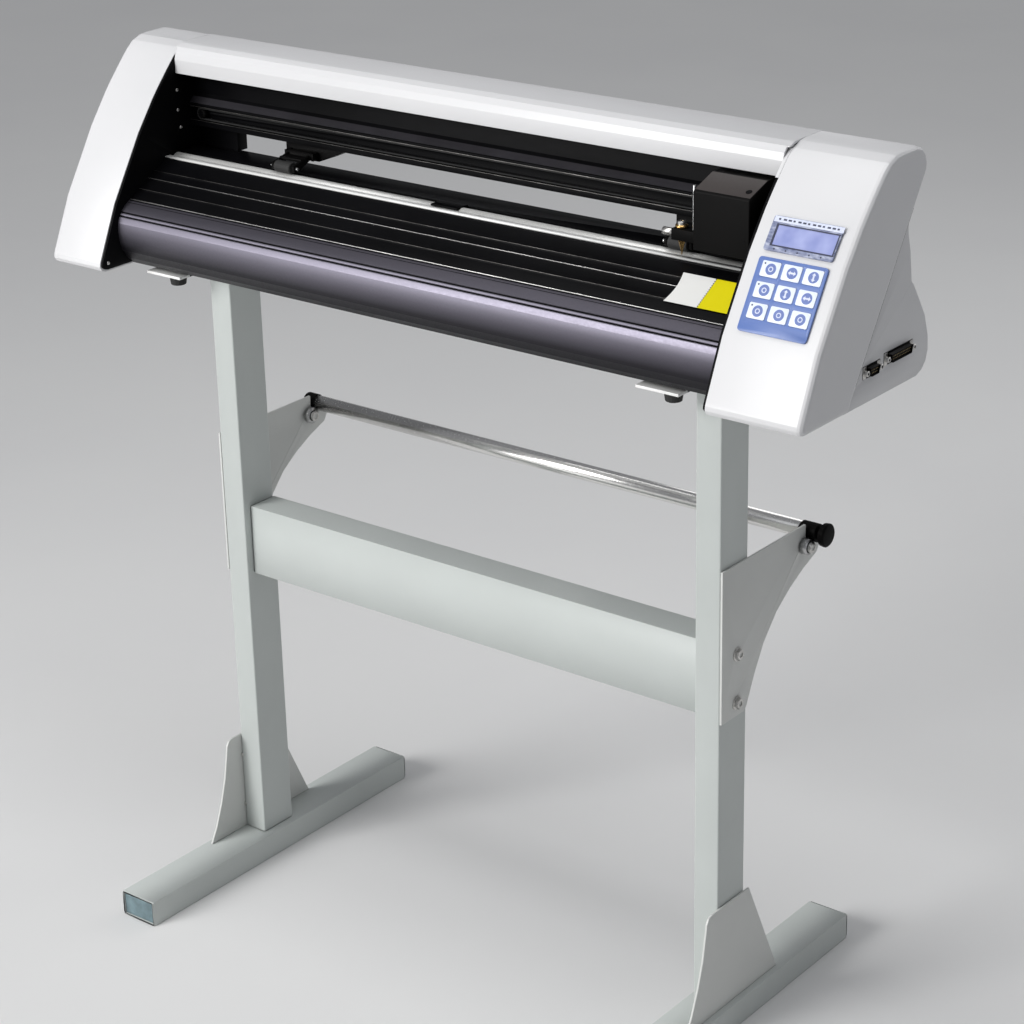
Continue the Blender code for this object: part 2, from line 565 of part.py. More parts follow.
solid(
    "drive_belt",
    belt(BELT_OUT_R, BELT_Y0, BELT_Y1),
    RUBBER,
    cut=[belt(BELT_IN_R, BELT_Y0 - 0.01, BELT_Y1 + 0.01)],
)
for name, x in (("idler_pulley", IDLER_X), ("drive_pulley", DRIVE_X)):
    solid(
        name,
        rod("Y", x, BELT_Z, BELT_Y0 - 0.0002, BELT_Y1 + 0.0002, PULLEY_R, 20),
        SILVER,
        cut=[rod("Y", x, BELT_Z, BELT_Y0 - 0.01, BELT_Y1 + 0.01, SHAFT_BORE_R, 16)],
    )
bracket_x = RP_OUT + GAP
solid(
    "carriage_motor",
    box(DRIVE_X - reach, DRIVE_X + reach, 0.0455, 0.0735, BELT_Z - reach, BELT_Z + reach),
    PLASTIC,
    add=[
        rod("Y", DRIVE_X, BELT_Z, 0.0308, 0.0460, SHAFT_R, 16),
        box(bracket_x, DRIVE_X + 0.0230, 0.0425, 0.0457, BELT_Z - 0.0230, BELT_Z + 0.0230),
        box(bracket_x, bracket_x + 0.0030, 0.0430, 0.0700, BELT_Z - 0.0225, BELT_Z + 0.0225),
    ],
)
solid(
    "carriage_body",
    prism("X", CARRIAGE, CAR_X0, CAR_X1, (0.0300, 0.8950)),
    PLASTIC,
    cut=[box(CAR_X0 - 0.001, CAR_X1 - 0.004, -0.0220, 0.0250, 0.8740, 0.9120)],
)
solid(
    "tool_slide",
    box(0.2765, 0.3055, -0.0178, -0.0030, 0.8625, 0.8735),
    PLASTIC,
    add=[
        rod("Z", 0.3000, -0.0130, 0.8725, 0.9180, 0.0016, 12),
        box(0.3020, 0.3055, -0.0165, 0.0180, 0.8675, 0.9080),
        box(0.3050, 0.3260, 0.0040, 0.0160, 0.8860, 0.8980),
    ],
    cut=[
        rod("Z", TOOL_X, TOOL_Y, 0.85, 0.89, HOLDER_R + GAP, 16),
        rod("X", TOOL_Y, CLAMP_Z, 0.27, TOOL_X, 0.0016, 12),
    ],
)
holder = [
    (0.8465, 0.0004), (0.8520, 0.0011), (0.8545, 0.0020), (0.8600, 0.0035), (0.8626, HOLDER_R),
    (0.8738, HOLDER_R), (0.8739, 0.0065), (0.8762, 0.0065), (0.8763, 0.0042), (0.8800, 0.0038),
]
solid("blade_holder", turned("Z", TOOL_X, TOOL_Y, holder, 16), BRASS)
clamp = [(0.2619, 0.0032), (0.2625, 0.0038), (0.2738, 0.0038), (0.2743, 0.0032), (0.2744, 0.0015)]
clamp += [(0.2776, 0.0015)]
solid("clamp_screw", turned("X", TOOL_Y, CLAMP_Z, clamp, 12), STEEL)

# ---- Pinch rollers ----

for side, x in PINCH_X.items():
    plan = [(x - 0.0270, 0.8535), (x + 0.0200, 0.8535), (x + 0.0600, 0.8708), (x - 0.0270, 0.8708)]
    solid(
        f"pinch_bracket_{side}",
        prism("Y", plan, 0.0360, 0.0660, (x, 0.8708)),
        PLASTIC,
        add=[
            box(x - 0.0205, x - 0.0175, 0.0260, 0.0370, 0.8560, 0.8640),
            box(x + 0.0175, x + 0.0205, 0.0260, 0.0370, 0.8560, 0.8640),
            rod("X", PIVOT_Y, PIVOT_Z, x - 0.0180, x + 0.0180, PIVOT_R, 12),
        ],
    )
    cheek = [
        (-0.0004, 0.8500), (0.0020, 0.8483), (0.0080, 0.8487), (0.0275, 0.8575), (0.0275, 0.8625),
        (0.0060, 0.8572), (-0.0004, 0.8555),
    ]
    solid(
        f"pinch_arm_{side}",
        rod("X", PIVOT_Y, PIVOT_Z, x - 0.0170, x + 0.0170, 0.0045, 16),
        PLASTIC,
        add=[
            box(x - 0.0155, x + 0.0155, 0.0125, 0.0275, 0.8572, 0.8602),
            prism("X", cheek, x - 0.0162, x - 0.0132),
            prism("X", cheek, x + 0.0132, x + 0.0162),
        ],
        cut=[
            rod("X", PIVOT_Y, PIVOT_Z, x - 0.0200, x + 0.0200, PIVOT_BORE_R, 12),
            rod("X", GRIT_Y, PINCH_Z, x - 0.0200, x + 0.0200, AXLE_BORE_R, 12),
        ],
    )
    wheel = [
        (-0.0190, AXLE_R), (-0.0115, AXLE_R), (-0.0114, PINCH_R - 0.0008), (-0.0106, PINCH_R),
        (0.0106, PINCH_R), (0.0114, PINCH_R - 0.0008), (0.0115, AXLE_R), (0.0190, AXLE_R),
    ]
    solid(
        f"pinch_wheel_{side}",
        turned("X", GRIT_Y, PINCH_Z, [(x + t, r) for t, r in wheel], 20),
        RUBBER,
    )

# ---- Control panel ----


def on_face(item, face, x, up, out):
    """Sets a flat shape on a face of the cap: across, up from its lower edge, and its middle out from it."""
    rise = Vector((0, face[1][0] - face[0][0], face[1][1] - face[0][1])).normalized()
    item.location = Vector((x, *face[0])) + rise * up + Vector((1, 0, 0)).cross(rise) * out
    item.rotation_euler = (math.atan2(rise.z, rise.y), 0, 0)
    return item


windows = [
    on_face(shape(flat(rounded(KEY_W + 2 * GAP, KEY_H + 2 * GAP, 0.0010, 1), 0.02)), KEY_FACE, x, row, 0)
    for x in KEY_COLUMNS
    for row in KEY_ROWS
]
panel = shape(flat(rounded(PANEL_X1 - PANEL_X0, PANEL_S1 - PANEL_S0, 0.003, 3), PANEL_T))
middle = ((PANEL_X0 + PANEL_X1) / 2, (PANEL_S0 + PANEL_S1) / 2, GAP + PANEL_T / 2)
solid("keypad_panel", on_face(panel, KEY_FACE, *middle), BLUE, cut=windows)
for i, row in enumerate(KEY_ROWS):
    for j, x in enumerate(KEY_COLUMNS):
        key = shape(flat(rounded(KEY_W, KEY_H, 0.0008, 1), KEY_T))
        solid(f"key_{i + 1}{j + 1}", on_face(key, KEY_FACE, x, row, KEY_LIFT + KEY_T / 2), KEY)
glass = on_face(shape(flat(rounded(0.0650, 0.0204, 0.0005, 1), 0.0082)), LCD_FACE, 0.4380, 0.0190, 0.0059)
frame = shape(flat(rounded(0.0740, 0.0345, 0.002, 2), 0.0023))
solid("display_module", on_face(frame, LCD_FACE, 0.4355, 0.02035, 0.00145), LCD, cut=[glass])

# ---- Electrics ----

# Each component on the board: its two edges in X, its two edges in Y, and its height
COMPONENTS = (
    (0.1600, 0.2100, 0.0300, 0.0800, 0.0400), (0.2250, 0.2500, 0.0200, 0.0450, 0.0060),
    (0.2650, 0.3050, 0.0550, 0.0900, 0.0250), (0.3200, 0.3400, 0.0250, 0.0450, 0.0120),
    (0.2250, 0.2550, 0.0650, 0.0900, 0.0050), (0.3200, 0.3600, 0.0700, 0.0900, 0.0040),
)
on_board = [box(a, b, c, d, BOARD_Z + 0.001, BOARD_Z + BOARD_T + h) for a, b, c, d, h in COMPONENTS]
for a in (BOARD_X0 + 0.002, BOARD_X1 - 0.008):
    for b in (BOARD_Y0 + 0.002, BOARD_Y1 - 0.008):
        on_board.append(box(a, a + 0.006, b, b + 0.006, HOUSING_FLOOR, BOARD_Z + 0.001))
solid(
    "main_board",
    box(BOARD_X0, BOARD_X1, BOARD_Y0, BOARD_Y1, BOARD_Z, BOARD_Z + BOARD_T),
    BOARD,
    add=on_board,
)


def dee(y, z, width, half, slope):
    """The D outline of a serial port."""
    return [
        (y - width / 2, z + half), (y + width / 2, z + half), (y + width / 2 - slope, z - half),
        (y - width / 2 + slope, z - half),
    ]


shells, holes = [], []
for y, z, flange, width, screw in PORTS:
    half = flange / 2
    shells.append(box(0.4750, HOUSING_X + GAP, y - half, y + half, z - PORT_H / 2, z + PORT_H / 2))
    shells.append(prism("X", dee(y, z, width, 0.0042, 0.0018), 0.4780, 0.4840))
    shells += [rod("X", y + t * screw, z, 0.4780, 0.4835, 0.0026, 6) for t in (-1, 1)]
    holes.append(prism("X", dee(y, z, width - 0.0014, 0.0035, 0.0016), 0.4795, 0.4900))
solid("port_panel", box(0.4730, 0.4761, -0.0005, 0.0960, 0.7535, 0.7720), STEEL, add=shells, cut=holes)
solid(
    "power_entry",
    box(-0.4812, -0.4793, INLET_Y0 - 0.0030, INLET_Y1 + 0.0030, INLET_Z0 - 0.0030, INLET_Z1 + 0.0030),
    PLASTIC,
    add=[box(-0.4800, -0.4500, INLET_Y0, INLET_Y1, INLET_Z0, INLET_Z1)],
    cut=[
        box(-0.4900, -0.4640, 0.0600, 0.0840, 0.7630, 0.7780),
        box(-0.4900, -0.4700, 0.0370, 0.0530, 0.7615, 0.7795),
    ],
)
# Two faces that meet in a shallow valley, for a foot on either side of the tilting axis
rocker = [(0, -0.0065), (0, 0.0065), (-0.0068, 0.0065), (-0.0056, 0), (-0.0068, -0.0065)]
rocker = solid("power_rocker", prism("Y", rocker, 0.0380, 0.0520), PLASTIC)
rocker.location = (ROCKER_X, ROCKER_Y, ROCKER_Z)
rocker.rotation_euler = (math.pi / 2, -ROCKER_TILT, 0)
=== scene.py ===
"""Looks of the vinyl cutter on its stand: materials, printed panel, fastenings, light and camera."""

import math

import bmesh
import bpy
from mathutils import Matrix, Vector


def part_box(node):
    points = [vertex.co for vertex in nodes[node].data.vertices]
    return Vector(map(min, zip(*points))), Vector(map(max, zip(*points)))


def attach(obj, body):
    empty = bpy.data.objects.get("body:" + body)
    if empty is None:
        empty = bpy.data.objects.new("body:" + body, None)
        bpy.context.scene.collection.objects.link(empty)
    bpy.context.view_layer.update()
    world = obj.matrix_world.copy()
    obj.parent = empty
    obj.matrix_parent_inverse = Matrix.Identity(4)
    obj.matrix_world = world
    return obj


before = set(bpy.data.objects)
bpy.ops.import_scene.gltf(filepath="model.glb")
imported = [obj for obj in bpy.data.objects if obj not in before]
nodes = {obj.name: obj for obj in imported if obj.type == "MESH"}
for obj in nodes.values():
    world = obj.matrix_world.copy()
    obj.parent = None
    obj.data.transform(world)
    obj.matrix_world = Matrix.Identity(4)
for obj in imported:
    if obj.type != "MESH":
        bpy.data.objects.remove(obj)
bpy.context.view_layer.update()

# ---------------------------------------------------------------- materials


def graph(name):
    made = bpy.data.materials.new(name)
    made.use_nodes = True
    tree = made.node_tree
    return made, tree, tree.nodes["Principled BSDF"]


def noise(tree, scale, stretch=(1, 1, 1), detail=4.0, rough=0.55):
    """A noise texture in the object's own coordinates, in which one unit is a metre."""
    where = tree.nodes.new("ShaderNodeTexCoord")
    spread = tree.nodes.new("ShaderNodeMapping")
    spread.inputs["Scale"].default_value = stretch
    texture = tree.nodes.new("ShaderNodeTexNoise")
    texture.inputs["Scale"].default_value = scale
    texture.inputs["Detail"].default_value = detail
    texture.inputs["Roughness"].default_value = rough
    tree.links.new(where.outputs["Object"], spread.inputs["Vector"])
    tree.links.new(spread.outputs["Vector"], texture.inputs["Vector"])
    return texture.outputs["Fac"]


def ramp(tree, value, stops):
    """A colour ramp; each stop is (position, grey) or (position, (r, g, b))."""
    made = tree.nodes.new("ShaderNodeValToRGB")
    made.color_ramp.elements[0].position = stops[0][0]
    made.color_ramp.elements[1].position = stops[-1][0]
    for position, _ in stops[1:-1]:
        made.color_ramp.elements.new(position)
    for element, (_, colour) in zip(made.color_ramp.elements, stops):
        element.color = (*colour, 1) if isinstance(colour, tuple) else (colour, colour, colour, 1)
    tree.links.new(value, made.inputs["Fac"])
    return made.outputs["Color"]


def bump(tree, shader, heights):
    """Adds bumps one on another; each is (value, distance in metres, strength)."""
    last = None
    for value, distance, strength in heights:
        made = tree.nodes.new("ShaderNodeBump")
        made.inputs["Distance"].default_value = distance
        made.inputs["Strength"].default_value = strength
        tree.links.new(value, made.inputs["Height"])
        if last:
            tree.links.new(last, made.inputs["Normal"])
        last = made.outputs["Normal"]
    tree.links.new(last, shader.inputs["Normal"])


def times(colour, amount):
    return tuple(c * amount for c in colour)


def finish(name, colour, rough, metal=0.0, spread=0.08, blotch=6, grain=900, depth=0.00004,
           strength=0.3, stretch=(1, 1, 1), coat=0.0, rough_spread=0.06, specular=0.5):
    """A painted, moulded or machined surface: soft mottling, fine grain, and uneven gloss."""
    made, tree, shader = graph(name)
    soft = noise(tree, blotch, detail=5)
    fine = noise(tree, grain, stretch, detail=2)
    tint = ramp(tree, soft, ((0.3, times(colour, 1 - spread)), (0.7, times(colour, 1 + spread))))
    tree.links.new(tint, shader.inputs["Base Color"])
    gloss = ramp(tree, fine, ((0.3, rough - rough_spread), (0.7, rough + rough_spread)))
    tree.links.new(gloss, shader.inputs["Roughness"])
    bump(tree, shader, [(fine, depth, strength)])
    shader.inputs["Metallic"].default_value = metal
    shader.inputs["Specular IOR Level"].default_value = specular
    shader.inputs["Coat Weight"].default_value = coat
    shader.inputs["Coat Roughness"].default_value = 0.12
    return made


BRUSH = (0.02, 1, 1)
white = finish("moulded_white", (0.63, 0.63, 0.64), 0.38, spread=0.015, grain=700, depth=0.00003, coat=0.1)
paint = finish("powder_coat", (0.50, 0.53, 0.515), 0.38, spread=0.025, blotch=9, grain=650, depth=0.00009)
plate_paint = finish("plate_paint", (0.61, 0.62, 0.60), 0.4, spread=0.025, blotch=9, grain=650,
                     depth=0.00009)
insert = finish("plug_plastic", (0.13, 0.19, 0.21), 0.45, spread=0.35, blotch=60, grain=500)
black = finish("black_paint", (0.002, 0.002, 0.0025), 0.5, spread=0.3, grain=900, depth=0.00006,
               specular=0.07)
anodised = finish("black_anodised", (0.002, 0.002, 0.0025), 0.4, 0.0, 0.35, 14, 1200, 0.00003, 0.3, BRUSH,
                  specular=0.06)
# A lighter tone for the guide beam's chamfer: a painted highlight where that sloped face catches light
chamfer_highlight = finish("painted_highlight_chamfer", (0.034, 0.032, 0.038), 0.4, 0.4, 0.2, 20, 1200, 0.00003, 0.3, BRUSH)
# A painted highlight: thin strips standing in for light caught along the platen's ribs and the beam's lips
dim_edge_highlight = finish("painted_dim_highlight", (0.13, 0.125, 0.12), 0.35, 0.8, 0.6, 40, 1200, 0.00003, 0.3, BRUSH)
# A brighter painted highlight, for the platen's middle rib and the front cover's top edge
painted_bright_highlight = finish("painted_bright_highlight", (0.50, 0.49, 0.48), 0.28, 0.9, 0.3, 30, 1200, 0.00003, 0.3, BRUSH)
strip_white = finish("satin_strip", (0.86, 0.86, 0.85), 0.4, 0.1, 0.03, 30, 1400, 0.00002, 0.2, BRUSH)
chrome = finish("bright_chrome", (0.88, 0.87, 0.85), 0.22, 1.0, 0.04, 20, 500, 0.000005, 0.1)
steel = finish("turned_steel", (0.46, 0.46, 0.46), 0.3, 1.0, 0.12, 60, 1500, 0.00003, 0.3)
zinc = finish("zinc_screw", (0.58, 0.57, 0.55), 0.3, 1.0, 0.2, 200, 900, 0.00003, 0.3)
brass = finish("turned_brass", (0.62, 0.40, 0.15), 0.25, 1.0, 0.12, 100, 1500, 0.00002, 0.2)
rubber = finish("matt_rubber", (0.012, 0.012, 0.012), 0.7, spread=0.3, grain=1500, depth=0.00008)
plastic = finish("black_plastic", (0.003, 0.0028, 0.0028), 0.5, spread=0.2, grain=1100, depth=0.00005,
                 specular=0.07)
# A lighter tone for the carriage's sloped top: a painted highlight
bevel_highlight = finish("painted_highlight_carriage", (0.035, 0.028, 0.026), 0.38, spread=0.2, grain=1100, depth=0.00004)
blue = finish("panel_film", (0.11, 0.18, 0.44), 0.36, spread=0.05, grain=900, depth=0.00002)
key_top = finish("key_film", (0.72, 0.78, 0.92), 0.36, spread=0.03, grain=900, depth=0.00002)
ink = finish("printed_blue", (0.115, 0.17, 0.42), 0.4, spread=0.12, blotch=500, grain=900, depth=0.00001)
dark_ink = finish("printed_dark", (0.03, 0.035, 0.07), 0.4, spread=0.2, blotch=400, grain=900, depth=0.00001)
pale_ink = finish("printed_pale", (0.62, 0.66, 0.80), 0.4, spread=0.1, blotch=400, grain=900, depth=0.00001)
label_white = finish("label_white", (0.70, 0.70, 0.68), 0.35, spread=0.03, grain=600, depth=0.00001)
label_yellow = finish("label_yellow", (0.66, 0.58, 0.003), 0.5, spread=0.05, grain=600, depth=0.00001,
                      specular=0.1)
gold = finish("contact_gold", (0.30, 0.23, 0.12), 0.25, 1.0, 0.1, 300, 900, 0.00001, 0.1)


def cover_finish():
    """The satin cover: fine grain, a faint violet cast, and a painted sheen that follows its height."""
    made, tree, shader = graph("satin_cover")
    soft = noise(tree, 9, (0.3, 1, 1), 6)
    grain = noise(tree, 420, detail=3, rough=0.7)
    tone = ramp(tree, soft, ((0.3, (0.86, 0.84, 0.86)), (0.7, (1.0, 0.99, 1.0))))
    where = tree.nodes.new("ShaderNodeTexCoord")
    parts = tree.nodes.new("ShaderNodeSeparateXYZ")
    tree.links.new(where.outputs["Generated"], parts.inputs["Vector"])
    # Height up the cover, and how bright it is there: a painted sheen peaking below the grooves, with painted
    # shade darker towards the bottom
    stops = (
        (0.0, 0.012), (0.35, 0.025), (0.60, 0.150), (0.77, 0.300), (0.83, 0.250), (0.86, 0.090), (1.0, 0.080),
    )
    painted_sheen = ramp(tree, parts.outputs["Z"], [(at, (v, v * 0.96, v * 1.16)) for at, v in stops])
    mixed = tree.nodes.new("ShaderNodeMix")
    mixed.data_type, mixed.blend_type = "RGBA", "MULTIPLY"
    mixed.inputs["Factor"].default_value = 1.0
    tree.links.new(painted_sheen, mixed.inputs["A"])
    tree.links.new(tone, mixed.inputs["B"])
    tree.links.new(mixed.outputs["Result"], shader.inputs["Base Color"])
    tree.links.new(ramp(tree, grain, ((0.25, 0.44), (0.75, 0.58))), shader.inputs["Roughness"])
    bump(tree, shader, [(grain, 0.00012, 0.35)])
    shader.inputs["Metallic"].default_value = 0.75
    return made


def screen_finish():
    """A reflective character display, unlit, with a soft drift of tone across it."""
    made, tree, shader = graph("display_glass")
    soft = noise(tree, 45, (1, 1, 1), 2)
    tree.links.new(
        ramp(tree, soft, ((0.25, (0.22, 0.26, 0.54)), (0.75, (0.40, 0.44, 0.72)))), shader.inputs["Base Color"]
    )
    fine = noise(tree, 900, detail=1)
    bump(tree, shader, [(fine, 0.00001, 0.1)])
    shader.inputs["Roughness"].default_value = 0.18
    shader.inputs["Coat Weight"].default_value = 0.6
    return made


def bezel_finish():
    made, tree, shader = graph("display_frame")
    soft = noise(tree, 260, (0.4, 1, 1), 3)
    tree.links.new(
        ramp(tree, soft, ((0.35, (0.10, 0.12, 0.22)), (0.55, (0.26, 0.29, 0.42)), (0.7, (0.48, 0.51, 0.62)))),
        shader.inputs["Base Color"],
    )
    bump(tree, shader, [(soft, 0.00002, 0.2)])
    shader.inputs["Roughness"].default_value = 0.4
    return made


def board_finish():
    made, tree, shader = graph("board_lacquer")
    lines = noise(tree, 260, (1, 0.15, 1), 2)
    tree.links.new(
        ramp(tree, lines, ((0.48, (0.01, 0.09, 0.03)), (0.52, (0.02, 0.16, 0.06)))), shader.inputs["Base Color"]
    )
    bump(tree, shader, [(lines, 0.00003, 0.3)])
    shader.inputs["Roughness"].default_value = 0.3
    return made


def grit_finish():
    """Ground steel, with the grit's rough bands along the shaft."""
    made, tree, shader = graph("grit_steel")
    fine = noise(tree, 2600, detail=1)
    tree.links.new(
        ramp(tree, fine, ((0.35, (0.55, 0.55, 0.54)), (0.65, (0.85, 0.85, 0.83)))), shader.inputs["Base Color"]
    )
    bump(tree, shader, [(fine, 0.00015, 0.5)])
    shader.inputs["Roughness"].default_value = 0.4
    shader.inputs["Metallic"].default_value = 0.4
    return made


cover_metal, screen, bezel = cover_finish(), screen_finish(), bezel_finish()
board, grit = board_finish(), grit_finish()

# ---------------------------------------------------------------- finishes of the CAD nodes

LOOKS = {
    white: ("end_cap_", "beam_cover", "rear_housing"),
    paint: ("base_beam_", "leg_", "crossbar"),
    plate_paint: ("gusset_", "roll_arm_"),
    insert: ("base_plug_",),
    black: ("side_plate_",),
    anodised: ("guide_beam", "platen"),
    cover_metal: ("front_cover",),
    strip_white: ("cutting_strip",),
    chrome: ("media_rod",),
    grit: ("grit_shaft",),
    steel: ("support_roller_",),
    zinc: ("clamp_screw",),
    brass: ("blade_holder", "feed_pinion"),
    rubber: ("drive_belt", "pinch_wheel_", "foot_"),
    plastic: (
        "rod_plug_", "feed_motor", "carriage_", "tool_slide", "pinch_bracket_", "pinch_arm_", "power_",
        "port_panel", "drive_pulley", "idler_pulley",
    ),
    blue: ("keypad_panel",),
    key_top: ("key_",),
    bezel: ("display_module",),
    board: ("main_board",),
}
# Width of the rounding on each node's edges, in metres
ROUND = {
    "end_cap_": 0.0004, "beam_cover": 0.0008, "rear_housing": 0.0012, "base_beam_": 0.0020, "leg_": 0.0018,
    "crossbar": 0.0020, "gusset_": 0.0006, "roll_arm_": 0.0006, "side_plate_": 0.0004, "carriage_body": 0.0010,
    "front_cover": 0.0004, "platen": 0.0003, "guide_beam": 0.0004, "pinch_": 0.0004, "tool_slide": 0.0004,
    "keypad_panel": 0.0003, "key_": 0.0003, "display_module": 0.0005, "foot_": 0.0004, "rod_plug_": 0.0006,
    "base_plug_": 0.0010, "port_panel": 0.0003, "power_": 0.0004, "carriage_motor": 0.0010,
    "feed_motor": 0.0010,
}


def look_up(table, name):
    """The value of the longest prefix that the name starts with."""
    found = [key for key in table if name.startswith(key)]
    return table[max(found, key=len)] if found else None


prefixes = {prefix: made for made, names in LOOKS.items() for prefix in names}
for name, node in nodes.items():
    made = look_up(prefixes, name)
    for slot in node.material_slots:
        slot.material = made
    node.data.shade_smooth()
    weld = node.modifiers.new("weld", "WELD")
    weld.merge_threshold = 0.000002
    width = look_up(ROUND, name)
    if width:
        soften = node.modifiers.new("edges", "BEVEL")
        soften.width, soften.segments, soften.limit_method = width, 3, "ANGLE"
        soften.angle_limit = math.radians(14)
        soften.harden_normals = True
        soften.miter_outer = "MITER_ARC"
    else:
        node.data.set_sharp_from_angle(angle=math.radians(35))

# ---------------------------------------------------------------- helpers for added pieces


def piece(name, mesh, made, body, smooth=35):
    data = bpy.data.meshes.new(name)
    bmesh.ops.recalc_face_normals(mesh, faces=mesh.faces)
    mesh.to_mesh(data)
    mesh.free()
    data.shade_smooth()
    data.set_sharp_from_angle(angle=math.radians(smooth))
    data.materials.append(made)
    item = bpy.data.objects.new(name, data)
    bpy.context.scene.collection.objects.link(item)
    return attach(item, body)


def block(lo, hi, rim=0.0003):
    """A box between two corners with its edges rounded."""
    mesh = bmesh.new()
    bmesh.ops.create_cube(mesh, size=1)
    size = [b - a for a, b in zip(lo, hi)]
    bmesh.ops.scale(mesh, vec=size, verts=mesh.verts)
    bmesh.ops.translate(mesh, vec=[(a + b) / 2 for a, b in zip(lo, hi)], verts=mesh.verts)
    bmesh.ops.bevel(
        mesh, geom=mesh.edges[:], offset=min(rim, min(size) * 0.4), segments=2, profile=0.5, affect="EDGES"
    )
    return mesh


def lathe(profile, count=32):
    """A turned mesh about +Z; the profile holds (radius, height) from bottom to top."""
    mesh = bmesh.new()
    rings = []
    for radius, height in profile:
        angles = [2 * math.pi * i / count for i in range(count)]
        rings.append([mesh.verts.new((radius * math.cos(t), radius * math.sin(t), height)) for t in angles])
    for low, high in zip(rings, rings[1:]):
        for i in range(count):
            mesh.faces.new((low[i], low[(i + 1) % count], high[(i + 1) % count], high[i]))
    mesh.faces.new(rings[0])
    mesh.faces.new(rings[-1])
    return mesh


def aim(mesh, origin, direction, twist=0.0):
    """Turns the mesh's +Z to the direction and sets it at the origin."""
    way = Vector(direction).to_track_quat("Z", "Y").to_matrix().to_4x4()
    matrix = Matrix.Translation(origin) @ way @ Matrix.Rotation(twist, 4, "Z")
    bmesh.ops.transform(mesh, matrix=matrix, verts=mesh.verts)
    return mesh


def join(*meshes):
    """One bmesh of several."""
    data = bpy.data.meshes.new("joined")
    whole = bmesh.new()
    for mesh in meshes:
        mesh.to_mesh(data)
        mesh.free()
        whole.from_mesh(data)
    bpy.data.meshes.remove(data)
    return whole


def pan_head(radius, height):
    """A screw's domed head, with a round recess in it."""
    top = [(radius, 0), (radius * 0.98, height * 0.4), (radius * 0.82, height * 0.8), (radius * 0.55, height)]
    head = lathe(top + [(radius * 0.30, height), (radius * 0.12, height * 0.45)], 24)
    return head


def face_matrix(low, high):
    """Matrix from (across, up, out) on a face of the cap to the world."""
    start = Vector((0, *low))
    up = (Vector((0, *high)) - start).normalized()
    out = Vector((1, 0, 0)).cross(up)
    return Matrix.Translation(start) @ Matrix((Vector((1, 0, 0)), up, out)).transposed().to_4x4()


def flat_shape(outline, height, thickness):
    """The outline in X and Y as a thin raised shape from the height up."""
    mesh = bmesh.new()
    rings = [[mesh.verts.new((x, y, z)) for x, y in outline] for z in (height, height + thickness)]
    count = len(outline)
    for i in range(count):
        mesh.faces.new((rings[0][i], rings[0][(i + 1) % count], rings[1][(i + 1) % count], rings[1][i]))
    mesh.faces.new(rings[0])
    mesh.faces.new(rings[1])
    return mesh


def moved(mesh, matrix):
    bmesh.ops.transform(mesh, matrix=matrix, verts=mesh.verts)
    return mesh


def middle(node):
    low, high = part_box(node)
    return (low + high) / 2


# ---------------------------------------------------------------- control panel print

KEY_FACE = face_matrix((-0.0905, 0.8065), (-0.0468, 0.8765))
LCD_FACE = face_matrix((-0.0468, 0.8765), (-0.0215, 0.9100))
KEY_TOP, PRINT = 0.0029, 0.00008
FRAME_TOP = 0.00262
ICON_SHIFT, ICON_R = 0.0006, 0.0055


def disc(x, y, radius, count=28):
    turns = [2 * math.pi * i / count for i in range(count)]
    return [(x + radius * math.cos(t), y + radius * math.sin(t)) for t in turns]


def lozenge(x, y, angle, length=0.0042, width=0.0022):
    """A double-headed arrow, generic."""
    points = [
        (-1, 0), (-0.45, 1), (-0.45, 0.4), (0.45, 0.4), (0.45, 1), (1, 0), (0.45, -1), (0.45, -0.4),
        (-0.45, -0.4), (-0.45, -1),
    ]
    c, s = math.cos(angle), math.sin(angle)
    return [(x + c * a * length - s * b * width, y + s * a * length + c * b * width) for a, b in points]


to_face = KEY_FACE.inverted()
for row in (1, 2, 3):
    for column in (1, 2, 3):
        node, body = f"key_{row}{column}", f"button_{row}{column}"
        centre = to_face @ middle(node)
        x, y = centre.x, centre.y
        ring = flat_shape(disc(x + ICON_SHIFT, y, ICON_R), KEY_TOP, PRINT)
        piece(f"icon_{row}{column}", moved(ring, KEY_FACE), ink, body)
        if row < 3 and column > 1:
            sideways = (row, column) in ((1, 2), (2, 3))
            arrow = lozenge(x + ICON_SHIFT, y, 0 if sideways else math.pi / 2)
            mark = flat_shape(arrow, KEY_TOP + PRINT, PRINT)
            piece(f"arrow_{row}{column}", moved(mark, KEY_FACE), pale_ink, body)
        else:
            mark = flat_shape(disc(x + ICON_SHIFT, y, 0.0026), KEY_TOP + PRINT, PRINT)
            piece(f"mark_{row}{column}", moved(mark, KEY_FACE), pale_ink, body)
            core = flat_shape(disc(x + ICON_SHIFT, y, 0.0016), KEY_TOP + 2 * PRINT, PRINT)
            piece(f"core_{row}{column}", moved(core, KEY_FACE), ink, body)
        if column == 1:
            dot = flat_shape(disc(x - 0.0068, y + 0.0048, 0.0009, 14), KEY_TOP, PRINT)
            piece(f"lamp_{row}", moved(dot, KEY_FACE), dark_ink, body)

